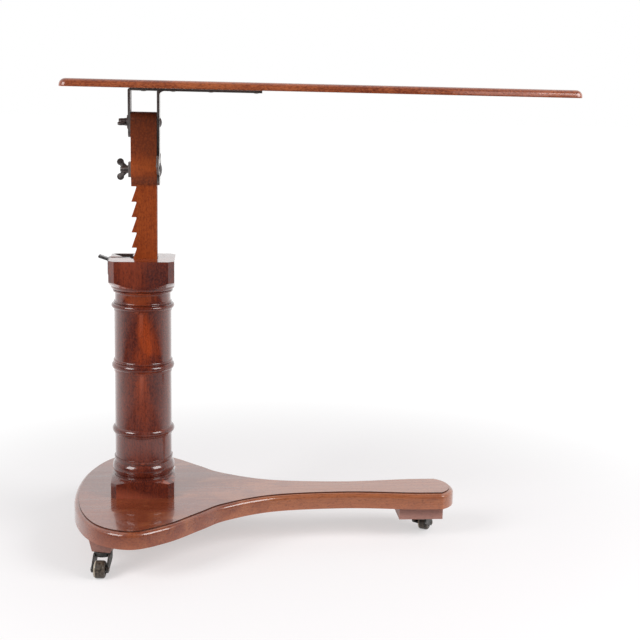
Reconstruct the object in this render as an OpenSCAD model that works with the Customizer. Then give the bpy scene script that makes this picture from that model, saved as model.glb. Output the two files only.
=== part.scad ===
// Adjustable reading table. A thin mahogany top hangs over the bed or chair on one side, an iron
// clevis carries it on a toothed post, and the post slides in a hollow turned column on a
// paddle-shaped base board with three castors. Millimetres, +Z up, floor at z = 0. The origin is
// the floor point under the middle of the whole outline. The long side of the top runs along X.

/* [Top] */
// Length of the top along X
top_length = 762; // [500:1:1000]
// Depth of the top along Y, from the reader to the far edge
top_depth = 457; // [425:1:560]
// Thickness of the top
top_thickness = 11.5; // [10:0.5:20]
// Distance from the left end of the top to the column axis
top_overhang = 105; // [60:1:150]
// Radius of the top's plan corners
top_corner_r = 12; // [10:1:30]
// Radius of the rounded upper edge of the top
top_edge_r = 9.5; // [4:0.5:9.5]

/* [Iron clevis] */
// Thickness of the iron strap
strap_t = 4; // [3:0.25:6]
// Width of the iron strap along Y
strap_w = 38; // [32:1:42]
// Reach of the strap to the right of the column axis
strap_reach = 193; // [150:1:300]
// Height of the tilt bolt under the top's lower face
tilt_drop = 54; // [50:1:80]
// Length of the left ear below the tilt bolt
left_ear_tail = 24; // [20:0.5:40]
// Length of the right ear below the tilt bolt
right_ear_tail = 100.5; // [96:0.5:110]
// Radius of the clamp slot about the tilt bolt
slot_r = 76; // [68:1:77]
// Tilt of the top either way
tilt_range = 30; // [15:1:40]
// Width of iron left on each side of the clamp slot
slot_rim = 6; // [5:0.5:9]

/* [Bolts and wing nuts] */
// Diameter of the two bolts
bolt_d = 8; // [6:0.5:9]
// Diameter of the tilt bolt's domed head
tilt_head_d = 16; // [14:0.5:22]
// Diameter of the clamp bolt's domed head
clamp_head_d = 23; // [18:0.5:26]
// Height of the domed heads
bolt_dome_h = 3.2; // [2:0.1:5]
// Diameter of the round washer on the tilt bolt
washer_d = 22; // [18:0.5:28]
// Thickness of the round washer
washer_t = 1.8; // [1:0.1:3]
// Side of the square washer plate on the clamp bolt
washer_plate_w = 24; // [20:0.5:30]
// Thickness of the square washer plate
washer_plate_t = 4.8; // [2:0.1:6]
// Diameter of a wing nut's hub
nut_hub_d = 13; // [11:0.5:16]
// Length of a wing nut's hub along the bolt
nut_hub_l = 11; // [8:0.5:14]
// Half span of a wing nut over its wings
nut_half_span = 17.5; // [15:0.5:20]
// Radius of a wing's round end
nut_wing_r = 5.6; // [4:0.2:6]
// Thickness of a wing
nut_wing_t = 3.6; // [2.5:0.1:5]
// Distance of the wings' round ends from the seat of the tilt nut
tilt_wing_out = 8.8; // [8:0.2:12]
// Distance of the wings' round ends from the seat of the clamp nut
clamp_wing_out = 12.6; // [8:0.2:14]
// Turn of the tilt nut's wings out of the level
tilt_nut_turn = 12; // [-90:1:90]

/* [Toothed post] */
// Distance of the post's toothed side to the left of the column axis
post_left = 17; // [15:0.5:18]
// Distance of the post's plain side to the right of the column axis
post_right = 24.5; // [20:0.5:26]
// Depth of the post along Y
post_depth = 30; // [26:0.5:32]
// Depth of the thicker head along Y
head_depth = 44; // [40:0.5:50]
// Height of the head from its lower tooth to its top
head_h = 119; // [115:1:130]
// Depth of the tilt bolt below the head's top
tilt_bolt_depth = 16.5; // [14:0.5:18]
// Radius of the head's upper front and back edges
head_top_r = 12; // [6:0.5:14]
// Height of the curve that leads the head back to the post
head_curve_h = 33; // [20:1:36]
// Pitch of the teeth
tooth_pitch = 25; // [22:0.5:26]
// Depth of the teeth
tooth_depth = 8; // [6:0.5:9]
// Number of teeth below the head
tooth_count = 14; // [8:1:14]
// Number of the tooth that the latch holds, counted down from the head
tooth_held = 5; // [4:1:6]
// Plain length of the post below the last tooth
post_tail = 43; // [20:1:45]
// Thickness of the round guide under the post
guide_t = 20; // [12:1:20]

/* [Turned column] */
// Height of the column with its plinth and collar
column_h = 399; // [396:1:460]
// Radius of the plain shaft
shaft_r = 47.25; // [43:0.25:48]
// Radius of the bore that the guide slides in
bore_r = 30; // [30:0.25:33]
// Width of the square collar
collar_w = 106; // [105:0.5:116]
// Height of the collar's flats at its corners
collar_h = 34.5; // [30:0.5:36]
// Rise of the arches that the lathe cut into the collar's flats
collar_arch_h = 10.5; // [6:0.5:12]
// Radius of the rounded shoulder under the collar
shoulder_r = 7; // [3:0.5:8]
// Width of the clipped corner facets of collar and plinth, measured along one side
corner_clip = 9.5; // [5:0.5:14]
// Width of the square plinth
plinth_w = 105; // [104:1:116]
// Height of the plinth's flats at its corners
plinth_h = 24; // [18:1:30]
// Depth of the square mortise in the collar that guides the post
mortise_depth = 57; // [56:1:66]
// How far the turned rings stand out from the shaft
ring_out = 4.75; // [4:0.25:7]
// Drop of the upper ring below the collar's top
upper_ring_drop = 77.5; // [72:0.5:90]
// Height of the middle ring above the base board
middle_ring_h = 220; // [190:1:240]
// Height of the lower ring above the base board
lower_ring_h = 109; // [95:1:130]
// Height of the base torus above the base board
torus_h = 44; // [42:1:50]
// Radius of the base torus in section
torus_r = 15; // [12:0.5:16]

/* [Base board] */
// Thickness of the base board
board_t = 28; // [22:1:36]
// Reach of the board to the left of the column axis
board_left = 115; // [105:1:130]
// Reach of the board to the right of the column axis
board_right = 538; // [470:1:640]
// Half width of the board's round head
board_head_half = 208; // [195:1:212]
// Half width of the narrow waist
board_waist_half = 34; // [28:1:44]
// Half width of the foot at its right end
board_foot_half = 44; // [42:1:56]
// How far the end of the foot bulges past its corners
board_end_bulge = 25; // [12:1:32]
// Width of the rounded edge round the top of the board
mould_w = 6.5; // [4:0.5:10]
// Height of that rounded edge
mould_h = 8; // [5:0.5:12]
// Height of the small step above the rounded edge
mould_step = 2; // [0.6:0.1:3]

/* [Castors] */
// Diameter of a castor wheel
wheel_d = 28; // [24:1:34]
// Width of a castor wheel
wheel_w = 18; // [12:0.5:20]
// Radius of a wheel's rounded shoulders
wheel_edge_r = 4; // [2:0.5:5.5]
// Distance from the swivel axis back to the axle
castor_trail = 24; // [20:0.5:28]
// Space between the wheel and the horn's crown
crown_gap = 1.7; // [1.4:0.1:6]
// Thickness of the horn's legs
horn_t = 3; // [2:0.25:4]
// Thickness of the horn's crown
crown_t = 4.5; // [3:0.25:6]
// Diameter of the horn's crown
crown_d = 29; // [28:0.5:30]
// Space between the wheel and each leg of the horn
leg_gap = 1.5; // [1:0.25:4]
// Diameter of the fixing plate
castor_plate_d = 30; // [30:0.5:36]
// Thickness of the fixing plate
castor_plate_t = 2.5; // [2:0.25:4]
// Diameter of the swivel pin
swivel_d = 8; // [6:0.5:10]
// Diameter of the axle
axle_d = 4; // [3:0.25:4.5]
// Distance of the left castors' swivels to the left of the column axis
castor_left_x = 57; // [48:1:60]
// Distance of the left castors' swivels in from the board's widest side
castor_side_inset = 60; // [58:1:70]
// Distance of the right castor's swivel from the board's right end
castor_end_inset = 55; // [52:1:70]
// Thickness of the wooden castor blocks
block_t = 23; // [15:1:30]
// Heading of the near left wheel about its swivel
near_heading = -98; // [-180:1:180]
// Heading of the far left wheel about its swivel
far_heading = 112; // [-180:1:180]
// Heading of the right wheel about its swivel
end_heading = 62; // [-180:1:180]

/* [Latch] */
// Distance of the lever's pivot to the left of the post
pivot_gap = 6; // [5.5:0.25:8]
// Depth of the pivot below the tooth that the lever holds
pivot_drop = 30; // [28:0.5:32]
// Angle of the lever's travel to its released place
lever_travel = 16; // [15:0.5:18]
// Width of the lever along Y
lever_w = 14; // [10:0.5:18]
// Thickness of the lever's arm and thumb tab
lever_t = 4.5; // [3:0.25:5.5]
// Diameter of the lever's pivot pin
pivot_d = 5; // [4:0.25:6]
// Reach of the thumb tab to the left of the collar
tab_reach = 16.5; // [14:0.5:30]
// Thickness of the keeper plate beside the lever
keeper_t = 2.8; // [1.5:0.1:3]
// Width of the keeper plate
keeper_w = 38; // [36:1:46]
// Height of the keeper plate
keeper_h = 24.5; // [21:0.5:26]
// Diameter of the lever's coil spring
spring_d = 6; // [5:0.25:6.5]

/* [Screws] */
// Shank diameter of the large wood screws
screw_d = 5; // [4:0.25:6]
// Shank diameter of the small wood screws
small_screw_d = 3; // [2:0.25:3.5]

/* [Fits] */
// Gap beside an iron ear, nut or washer
side_gap = 0.3; // [0.2:0.05:0.6]
// Gap round the sliding post
slide_gap = 0.6; // [0.4:0.1:1]
// Gap round the guide in the bore
guide_gap = 0.4; // [0.2:0.1:0.8]
// Running gap of a pin in its bore, on the radius
pin_gap = 0.06; // [0.03:0.01:0.1]
// Gap round a screw in its hole, on the radius
screw_gap = 0.05; // [0.02:0.01:0.1]
// Gap between the latch nose and the wood round it
nose_gap = 0.3; // [0.2:0.05:0.5]

/* [Hidden] */
$fn = 48;

// A length that reaches past every surface in a cut
over = 1;

// Depth of the tooth that the latch holds below the collar's top
held_depth = 7;

// Heights, from the floor up
castor_h = wheel_d + crown_gap + crown_t + side_gap + castor_plate_t;
board_z = castor_h + block_t;
board_top = board_z + board_t;
collar_top = board_top + column_h;
held_z = collar_top - held_depth;
head_low = held_z + tooth_held * tooth_pitch;
head_top = head_low + head_h;
tilt_z = head_top - tilt_bolt_depth;
clamp_z = tilt_z - slot_r;
top_z = tilt_z + tilt_drop;

// The column axis lies left of the origin, so that the origin is in the middle of the outline
column_x = (board_left - (top_length - top_overhang)) / 2;
top_left = -top_overhang;

// Faces across the clevis
head_gap_left = -post_left - side_gap;
head_gap_right = post_right + side_gap;
nut_seat_tilt = head_gap_left - strap_t - side_gap - washer_t - side_gap;
nut_seat_clamp = -post_left - washer_plate_t - side_gap;
bolt_seat = head_gap_right + strap_t + side_gap;
bolt_end_past_nut = 2;

// Latch
pivot_x = -post_left - pivot_gap;
pivot_z = held_z - pivot_drop;
boss_gap = 0.5;
boss_r = pivot_gap - boss_gap;
pocket_half = lever_w / 2 + slide_gap;
pocket_below_boss = 6;
pocket_reach = 15;
pocket_floor = pivot_z - boss_r - pocket_below_boss;
pocket_left = pivot_x - pocket_reach;
arm_floor = pivot_z + 2;
keeper_top = 1;
keeper_rim = 6;
slot_floor = collar_top - keeper_top - keeper_h + keeper_rim;
recess_depth = 17;
recess_z = collar_top - recess_depth;
recess_near_x = -25;
recess_near_y = 38;
recess_far_y = 43;
collar_left = -collar_w / 2;
hollow_wall = 6.5;
recess_wall = 4.5;
hollow_left = collar_left + hollow_wall;
recess_left = collar_left + recess_wall;
// The nose's end is an arc about the pivot, and stays under the tooth at the tooth's outer corner
nose_r = sqrt(pow(pivot_drop - nose_gap, 2) + pow(pivot_gap, 2));
// Places along the lever: at the top of its stem, outside the collar's wall and at the thumb tab's tip
arm_z = collar_top - 0.4 - lever_t / 2;
stem_top = [pivot_x - 2, arm_z];
arm_out = [collar_left - 2, arm_z - 0.6];
tab_tip = [collar_left - tab_reach, arm_z + 4.4];
rib_count = 5;
spring_x = pivot_x - 9.5;
spring_top = pivot_z + 4.4;
spring_pad_half = 3.2;

// Castors: name, place of the swivel from the column axis, heading
castor_left_y = board_head_half - castor_side_inset;
castor_end_x = board_right - castor_end_inset;
NEAR = [-castor_left_x, -castor_left_y, near_heading];
FAR = [-castor_left_x, castor_left_y, far_heading];
END = [castor_end_x, 0, end_heading];
castor_places = [NEAR, FAR, END];
crown_top = castor_h - castor_plate_t - side_gap;
crown_low = crown_top - crown_t;
leg_in = wheel_w / 2 + leg_gap;
leg_out = leg_in + horn_t;
axle_boss_r = 5.5;
pin_head_t = 1.7;
pin_head_over = 2.5;
plate_screw_ring = castor_plate_d / 2 - 4;
left_block_heading = 106;
left_block_screws = [-23, -39];
block_back = 50;
block_front = 11;
block_low_half = 15;
block_high_half = 21;
end_block_screws = [-33, 24];
end_block_back = 43;
end_block_front = 33;
end_block_half = 30;

// Fasteners
column_screw_at = 33;
column_screw_l = 20;
bracket_screw_places = [[3, 10], [3, -10], [50, 0], [111, 0], [strap_reach - 9, 0]];
bracket_head_h = 1;
guide_screw_at = 9;

// Outline of the base board, one half, as places on its side face
board_half_marks = [
    [-board_left, 0],
    [-0.90 * board_left, 0.49 * board_head_half],
    [-0.595 * board_left, 0.852 * board_head_half],
    [-0.096 * board_left, board_head_half],
    [0.087 * board_right, 0.861 * board_head_half],
    [0.186 * board_right, 0.601 * board_head_half],
    [0.260 * board_right, 0.411 * board_head_half],
    [0.413 * board_right, 1.35 * board_waist_half],
    [0.643 * board_right, board_waist_half],
    [0.852 * board_right, board_foot_half - 1],
    [board_right - board_end_bulge, board_foot_half]
];
curve_steps = 6;
end_steps = 10;

function curve_point(a, b, c, d, t) =
    0.5 * (2 * b + (c - a) * t + (2 * a - 5 * b + 4 * c - d) * t * t
    + (3 * b - a - 3 * c + d) * t * t * t);

function mark(i) =
    i < 0 ? [board_half_marks[1].x, -board_half_marks[1].y] :
    i >= len(board_half_marks)
        ? 2 * board_half_marks[len(board_half_marks) - 1] - board_half_marks[len(board_half_marks) - 2]
        : board_half_marks[i];

end_arc_r = (pow(board_foot_half, 2) + pow(board_end_bulge, 2)) / (2 * board_end_bulge);
end_arc_angle = asin(board_foot_half / end_arc_r);

board_half = concat(
    [for (i = [0:len(board_half_marks) - 2], k = [0:curve_steps - 1])
        curve_point(mark(i - 1), mark(i), mark(i + 1), mark(i + 2), k / curve_steps)],
    [for (k = [0:end_steps])
        let (a = end_arc_angle * (1 - k / end_steps))
        [board_right - end_arc_r + end_arc_r * cos(a), end_arc_r * sin(a)]]
);

// The whole outline, anticlockwise seen from above, starting at the right end
board_outline = concat(
    [for (i = [len(board_half) - 1:-1:0]) board_half[i]],
    [for (i = [1:len(board_half) - 2]) [board_half[i].x, -board_half[i].y]]
);

function inset_point(points, i, by) =
    let (
        n = len(points),
        along = points[(i + 1) % n] - points[(i + n - 1) % n],
        inward = [-along.y, along.x] / norm(along)
    )
    points[i] + by * inward;

function inset_outline(points, by) = [for (i = [0:len(points) - 1]) inset_point(points, i, by)];

// Rings of the board's side, from the bottom up: how far in, and how high
mould_steps = 5;
board_rings = concat(
    [[0, board_z]],
    [for (k = [0:mould_steps])
        let (a = 90 * k / mould_steps)
        [mould_w * (1 - cos(a)), board_top - mould_step - mould_h * (1 - sin(a))]],
    [[mould_w + 0.5, board_top]]
);

module at_column() {
    translate([column_x, 0, 0]) children();
}

// Turns a flat drawing in X and Z into a plate with its thickness along Y
module along_y(depth) {
    rotate([90, 0, 0]) linear_extrude(depth, center = true) children();
}

// Turns a flat drawing in Y and Z into a plate that starts at x and reaches to the right
module along_x(x, thickness) {
    translate([x, 0, 0]) rotate([90, 0, 90]) linear_extrude(thickness) children();
}

// A round bar of a bolt or pin along X between two places
module bar_x(x0, x1, z, r) {
    translate([x0, 0, z]) rotate([0, 90, 0]) cylinder(h = x1 - x0, r = r);
}

// A wood screw with a sunk head. Its head's flat is at the origin and it points up.
module sunk_screw(d, length, gap = 0) {
    translate([0, 0, gap > 0 ? -over : 0]) cylinder(h = (gap > 0 ? over : 0) + 0.01, r = d + gap);
    cylinder(h = d / 2 + gap, r1 = d + gap, r2 = d / 2 + gap);
    cylinder(h = length + gap, r = d / 2 + gap);
}

// A straight limb of the lever, with a round knuckle a little thicker than the limb at its end
module limb(a, b, t) {
    d = b - a;
    translate(a) rotate(atan2(d.y, d.x)) translate([0, -t / 2]) square([norm(d), t]);
    translate(b) circle(d = t + 0.4);
}

// Top

// Half of the top's section, from its middle out to an edge with a rounded upper side
module edge_profile(reach) {
    low = top_thickness - top_edge_r;
    square([reach, low]);
    square([reach - top_edge_r, top_thickness]);
    translate([reach - top_edge_r, low]) intersection() {
        circle(r = top_edge_r);
        square(top_edge_r);
    }
}

module edge_section(length) {
    edge_profile(length / 2);
    mirror([1, 0, 0]) edge_profile(length / 2);
}

module top_board() {
    inner = [top_length - 2 * top_corner_r, top_depth - 2 * top_corner_r];
    rotate([90, 0, 0]) linear_extrude(inner.y, center = true) edge_section(top_length);
    rotate([90, 0, 90]) linear_extrude(inner.x, center = true) edge_section(top_depth);
    for (x = [-1, 1], y = [-1, 1])
        translate([x * inner.x / 2, y * inner.y / 2]) rotate_extrude() edge_profile(top_corner_r);
}

module table_top() {
    middle = top_left + top_length / 2;
    color([0.55, 0.24, 0.11]) at_column() difference() {
        translate([middle, 0, top_z]) top_board();
        for (p = bracket_screw_places)
            translate([p.x, p.y, top_z - over])
                cylinder(h = over + bracket_screw_in + screw_gap, r = screw_d / 2 + screw_gap);
    }
}

// Iron clevis

bracket_screw_in = top_thickness - 3;
ear_half = strap_w / 2;
slot_half_angle = tilt_range + 1;
band_half_angle = slot_half_angle + asin((bolt_d / 2 + slot_rim) / slot_r);
slot_w = bolt_d + 2 * side_gap;

// A stretch of a ring about the tilt bolt, hanging down, either side of the middle
module hanging_band(r_in, r_out, half_angle) {
    far = 2 * r_out;
    intersection() {
        difference() {
            circle(r = r_out, $fn = 96);
            circle(r = r_in, $fn = 96);
        }
        polygon([[0, 0], [-far * sin(half_angle), -far * cos(half_angle)],
            [far * sin(half_angle), -far * cos(half_angle)]]);
    }
}

module right_ear_face() {
    translate([0, tilt_z]) difference() {
        union() {
            translate([-ear_half, -right_ear_tail + ear_half / 2])
                square([strap_w, right_ear_tail - ear_half / 2 + tilt_drop]);
            for (side = [-1, 1])
                translate([side * ear_half / 2, -right_ear_tail + ear_half / 2]) circle(d = ear_half);
            translate([-ear_half / 2, -right_ear_tail]) square([ear_half, ear_half]);
            hanging_band(slot_r - slot_w / 2 - slot_rim, slot_r + slot_w / 2 + slot_rim, band_half_angle);
        }
        hanging_band(slot_r - slot_w / 2, slot_r + slot_w / 2, slot_half_angle);
        for (side = [-1, 1])
            rotate(side * slot_half_angle) translate([0, -slot_r]) circle(d = slot_w);
        circle(r = bolt_d / 2 + pin_gap);
    }
}

module left_ear_face() {
    translate([0, tilt_z]) difference() {
        union() {
            translate([-ear_half, -left_ear_tail + ear_half / 2])
                square([strap_w, left_ear_tail - ear_half / 2 + tilt_drop]);
            for (side = [-1, 1])
                translate([side * ear_half / 2, -left_ear_tail + ear_half / 2]) circle(d = ear_half);
            translate([-ear_half / 2, -left_ear_tail]) square([ear_half, ear_half]);
        }
        circle(r = bolt_d / 2 + pin_gap);
    }
}

// The curve that runs the right ear out into the long strap
module ear_root() {
    root_r = 7;
    corner = [head_gap_right + strap_t, top_z - strap_t];
    translate([corner.x, 0, corner.y]) along_y(strap_w) difference() {
        translate([-over, -root_r]) square([root_r + over, root_r + over]);
        translate([root_r, -root_r]) circle(r = root_r);
    }
}

module clevis_bracket() {
    color([0.27, 0.26, 0.27]) at_column() difference() {
        union() {
            difference() {
                union() {
                    translate([head_gap_left - strap_t, -ear_half, top_z - strap_t])
                        cube([strap_reach - head_gap_left + strap_t, strap_w, strap_t]);
                    along_x(head_gap_left - strap_t, strap_t) left_ear_face();
                }
                // The outside of the left bend is rounded
                translate([head_gap_left - strap_t, 0, top_z]) along_y(strap_w + 2 * over) difference() {
                    translate([-over, -strap_t]) square([strap_t + over, strap_t + over]);
                    translate([strap_t, -strap_t]) circle(r = strap_t);
                }
            }
            along_x(head_gap_right, strap_t) right_ear_face();
            ear_root();
        }
        for (p = bracket_screw_places)
            translate([p.x, p.y, top_z - strap_t - over])
                cylinder(h = strap_t + 2 * over, r = screw_d / 2 + screw_gap);
    }
}

// Domed screws that hold the strap to the underside of the top
module bracket_screws() {
    color([0.35, 0.34, 0.34]) at_column()
        for (p = bracket_screw_places)
            translate([p.x, p.y, top_z - strap_t]) {
                cylinder(h = strap_t + bracket_screw_in, r = screw_d / 2);
                mirror([0, 0, 1]) domed_head(screw_d * 0.95, bracket_head_h);
            }
}

// A low dome of radius r and height h that stands on the XY plane
module domed_head(r, h) {
    sphere_r = (r * r + h * h) / (2 * h);
    intersection() {
        translate([0, 0, h - sphere_r]) sphere(r = sphere_r);
        cylinder(h = h, r = r + over);
    }
}

// Bolts, washers and wing nuts

module domed_bolt(z, head_d, nut_seat) {
    end_x = nut_seat - nut_hub_l - bolt_end_past_nut;
    bar_x(end_x, bolt_seat, z, bolt_d / 2);
    translate([bolt_seat, 0, z]) rotate([0, 90, 0]) domed_head(head_d / 2, bolt_dome_h);
}

module tilt_bolt() {
    color([0.36, 0.35, 0.35]) at_column() domed_bolt(tilt_z, tilt_head_d, nut_seat_tilt);
}

module clamp_bolt() {
    color([0.36, 0.35, 0.35]) at_column() domed_bolt(clamp_z, clamp_head_d, nut_seat_clamp);
}

module tilt_washer() {
    color([0.5, 0.49, 0.48]) at_column() difference() {
        bar_x(nut_seat_tilt + side_gap, nut_seat_tilt + side_gap + washer_t, tilt_z, washer_d / 2);
        bar_x(nut_seat_tilt - over, 0, tilt_z, bolt_d / 2 + pin_gap);
    }
}

module clamp_washer_plate() {
    color([0.3, 0.29, 0.29]) at_column() difference() {
        translate([nut_seat_clamp + side_gap, -washer_plate_w / 2, clamp_z - washer_plate_w / 2])
            cube([washer_plate_t, washer_plate_w, washer_plate_w]);
        bar_x(nut_seat_clamp - over, 0, clamp_z, bolt_d / 2 + pin_gap);
    }
}

// A wing nut on a bolt along X. Its seat is at the origin, it reaches to the left, and its wings
// stand in the XZ plane.
module wing_nut(wing_out) {
    wing_at = nut_half_span - nut_wing_r;
    difference() {
        union() {
            rotate([0, -90, 0]) cylinder(h = nut_hub_l, r1 = nut_hub_d / 2, r2 = nut_hub_d / 2 - 1.5);
            along_y(nut_wing_t) for (side = [-1, 1]) {
                translate([-wing_out, side * wing_at]) circle(r = nut_wing_r);
                polygon([[-2, 0], [-2, side * (nut_hub_d / 2 - 0.5)],
                    [-wing_out + nut_wing_r, side * (wing_at - 1)],
                    [-wing_out - 1, side * (wing_at - nut_wing_r + 0.5)],
                    [-nut_hub_l + 2, 0]]);
            }
        }
        rotate([0, -90, 0]) translate([0, 0, -over])
            cylinder(h = nut_hub_l + nut_half_span, r = bolt_d / 2 + pin_gap);
    }
}

module tilt_wing_nut() {
    color([0.33, 0.31, 0.32]) at_column()
        translate([nut_seat_tilt, 0, tilt_z]) rotate([90 + tilt_nut_turn, 0, 0]) wing_nut(tilt_wing_out);
}

module clamp_wing_nut() {
    color([0.33, 0.31, 0.32]) at_column()
        translate([nut_seat_clamp, 0, clamp_z]) wing_nut(clamp_wing_out);
}

// Toothed post

post_foot = head_low - tooth_count * tooth_pitch - post_tail;
tooth_root = -post_left + tooth_depth;
// The tooth's flat faces down. Below it the flank runs from the root out to the next tip.
tooth_lead = 2;

module post_side() {
    polygon(concat(
        [[post_right, post_foot], [post_right, head_low + over], [-post_left, head_low + over]],
        [for (k = [0:tooth_count - 1])
            let (flat = head_low - k * tooth_pitch)
            each [[-post_left, flat], [tooth_root, flat], [tooth_root, flat - tooth_lead],
                [-post_left, flat - tooth_pitch]]],
        [[-post_left, post_foot]]
    ));
}

module head_section() {
    low = head_low;
    curve_z = low + 2 + head_curve_h;
    half = head_depth / 2;
    proud = (head_depth - post_depth) / 2;
    curve_r = (proud * proud + head_curve_h * head_curve_h) / (2 * proud);
    translate([-post_depth / 2, low]) square([post_depth, head_h - head_top_r]);
    translate([-half, curve_z]) square([head_depth, head_top - head_top_r - curve_z]);
    translate([-half + head_top_r, curve_z])
        square([head_depth - 2 * head_top_r, head_top - curve_z]);
    for (side = [-1, 1]) {
        translate([side * (half - head_top_r), head_top - head_top_r]) circle(r = head_top_r);
        intersection() {
            translate([side * (half - curve_r), curve_z]) circle(r = curve_r, $fn = 180);
            translate([side > 0 ? 0 : -half, curve_z - head_curve_h]) square([half, head_curve_h]);
        }
    }
}

module ratchet_post() {
    width = post_left + post_right;
    color([0.62, 0.27, 0.1]) at_column() difference() {
        union() {
            along_y(post_depth) post_side();
            along_x(-post_left, width) head_section();
        }
        bar_x(-post_left - over, post_right + over, tilt_z, bolt_d / 2 + screw_gap);
        bar_x(-post_left - over, post_right + over, clamp_z, bolt_d / 2 + screw_gap);
        for (y = [-guide_screw_at, guide_screw_at])
            translate([post_middle, y, post_foot - over])
                cylinder(h = guide_screw_in + over + screw_gap, r = screw_d / 2 + screw_gap);
    }
}

post_middle = (post_right - post_left) / 2;
guide_screw_in = 25;
guide_r = bore_r - guide_gap;

module post_guide() {
    color([0.42, 0.26, 0.14]) at_column() difference() {
        translate([0, 0, post_foot - guide_t]) cylinder(h = guide_t, r = guide_r, $fn = 96);
        for (y = [-guide_screw_at, guide_screw_at])
            translate([post_middle, y, post_foot - guide_t])
                sunk_screw(screw_d, guide_t + over, screw_gap);
    }
}

module guide_screws() {
    color([0.4, 0.38, 0.36]) at_column() for (y = [-guide_screw_at, guide_screw_at])
        translate([post_middle, y, post_foot - guide_t]) sunk_screw(screw_d, guide_t + guide_screw_in);
}

// Turned column

module clipped_square(w) {
    polygon([for (q = [0:3]) each [
        [w / 2, -w / 2 + corner_clip] * [[cos(90 * q), sin(90 * q)], [-sin(90 * q), cos(90 * q)]],
        [w / 2, w / 2 - corner_clip] * [[cos(90 * q), sin(90 * q)], [-sin(90 * q), cos(90 * q)]]
    ]]);
}

collar_low = collar_top - collar_h;
corner_r = norm([collar_w / 2, collar_w / 2 - corner_clip]) + over;
neck_r = shaft_r - 1.4;
upper_ring_z = collar_top - upper_ring_drop;
neck_cove_r = 3.5;
ring_cove_r = 3.5;
shoulder_step = 2.5;
shoulder_low = collar_low - collar_arch_h - shoulder_r - shoulder_step;

// A bead of the lathe: it stands out to r_out, and its section is a circle
module bead(z, section_r, r_out) {
    translate([r_out - section_r, z]) circle(r = section_r);
}

// A hollow of the lathe that leads from the neck out to a wider turning at z. It lies over that
// place with up = 1, and under it with up = -1.
module cove(z, cove_r, up) {
    difference() {
        translate([0, up > 0 ? z : z - cove_r]) square([neck_r + cove_r, cove_r]);
        translate([neck_r + cove_r, z + up * cove_r]) circle(r = cove_r);
    }
}

// A square step of the lathe
module fillet_step(z0, z1, r_out) {
    translate([0, z0]) square([r_out, z1 - z0]);
}

module turned_profile() {
    ring_r = shaft_r + ring_out;
    fillet_r = shaft_r + 1.7;
    fillet_step(board_top, upper_ring_z, shaft_r);
    fillet_step(upper_ring_z - over, collar_low, neck_r);
    // Plinth and its turned shoulder
    fillet_step(board_top, board_top + plinth_h, corner_r);
    polygon([[0, board_top + plinth_h], [corner_r, board_top + plinth_h],
        [plinth_w / 2 - 1, board_top + plinth_h + 5], [0, board_top + plinth_h + 5]]);
    // Base torus between two steps
    fillet_step(board_top + plinth_h, board_top + torus_h - torus_r + 2, shaft_r + 4.3);
    bead(board_top + torus_h, torus_r, ring_r);
    fillet_step(board_top + torus_h + torus_r - 2, board_top + torus_h + torus_r + 3, fillet_r);
    // Lower ring: a bead with a small one under it
    bead(board_top + lower_ring_h + 0.2, 6.5, ring_r);
    bead(board_top + lower_ring_h - 5.5, 3, ring_r - 3);
    // Middle ring: a bead, a small one over it and a step under it
    bead(board_top + middle_ring_h - 1, 6.5, ring_r);
    bead(board_top + middle_ring_h + 7.6, 3, shaft_r + 2);
    fillet_step(board_top + middle_ring_h - 11, board_top + middle_ring_h - 6, shaft_r + 1);
    // Upper ring: a bead, a small one over it with a cove between them, and a step under it
    bead(upper_ring_z - 1, 4.2, ring_r);
    cove(upper_ring_z + 1.5, ring_cove_r, 1);
    bead(upper_ring_z + 5.6, 2.2, neck_r + 2);
    fillet_step(upper_ring_z - 9, upper_ring_z - 3, shaft_r + 0.8);
    // Cove, step and rounded shoulder under the collar
    cove(shoulder_low, neck_cove_r, -1);
    round_low = shoulder_low + shoulder_step;
    fillet_step(shoulder_low, round_low, neck_r + neck_cove_r);
    intersection() {
        translate([collar_w / 2 - shoulder_r, round_low + shoulder_r]) circle(r = shoulder_r);
        translate([0, round_low]) square([collar_w / 2, shoulder_r]);
    }
    fillet_step(round_low, round_low + shoulder_r, collar_w / 2 - shoulder_r);
    polygon([[0, round_low + shoulder_r], [collar_w / 2, round_low + shoulder_r],
        [corner_r, collar_low], [corner_r, collar_top], [0, collar_top]]);
}

module column_blank() {
    intersection() {
        rotate_extrude($fn = 96) turned_profile();
        union() {
            translate([0, 0, board_top]) linear_extrude(plinth_h + 5) clipped_square(plinth_w);
            translate([0, 0, board_top + plinth_h + 5])
                cylinder(h = shoulder_low - board_top - plinth_h - 5, r = shaft_r + ring_out + 5);
            translate([0, 0, shoulder_low])
                linear_extrude(collar_top - shoulder_low) clipped_square(collar_w);
        }
    }
}

module column_hollow() {
    mortise_low = collar_top - mortise_depth;
    hole = [post_left + post_right + 2 * slide_gap, post_depth + 2 * slide_gap];
    translate([0, 0, board_top - over]) cylinder(h = mortise_low - board_top + over, r = bore_r, $fn = 96);
    translate([-post_left - slide_gap, -hole.y / 2, mortise_low - over])
        cube([hole.x, hole.y, mortise_depth + 2 * over]);
    // Pocket for the lever and its spring
    translate([pocket_left, -pocket_half, pocket_floor])
        cube([-post_left - pocket_left, 2 * pocket_half, collar_top - pocket_floor + over]);
    translate([hollow_left, -pocket_half, arm_floor])
        cube([-post_left - hollow_left, 2 * pocket_half, collar_top - arm_floor + over]);
    // Open three-cornered recess behind the lever in the top of the collar
    translate([0, 0, recess_z]) linear_extrude(collar_top - recess_z + over)
        polygon([[-post_left, -pocket_half], [-post_left, recess_far_y], [recess_left, recess_far_y],
            [recess_left, recess_near_y], [recess_near_x, -pocket_half]]);
    // Slot in the collar's left wall for the lever
    translate([collar_left - over, -pocket_half, slot_floor])
        cube([hollow_left - collar_left + 2 * over, 2 * pocket_half, collar_top - slot_floor + over]);
}

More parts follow.
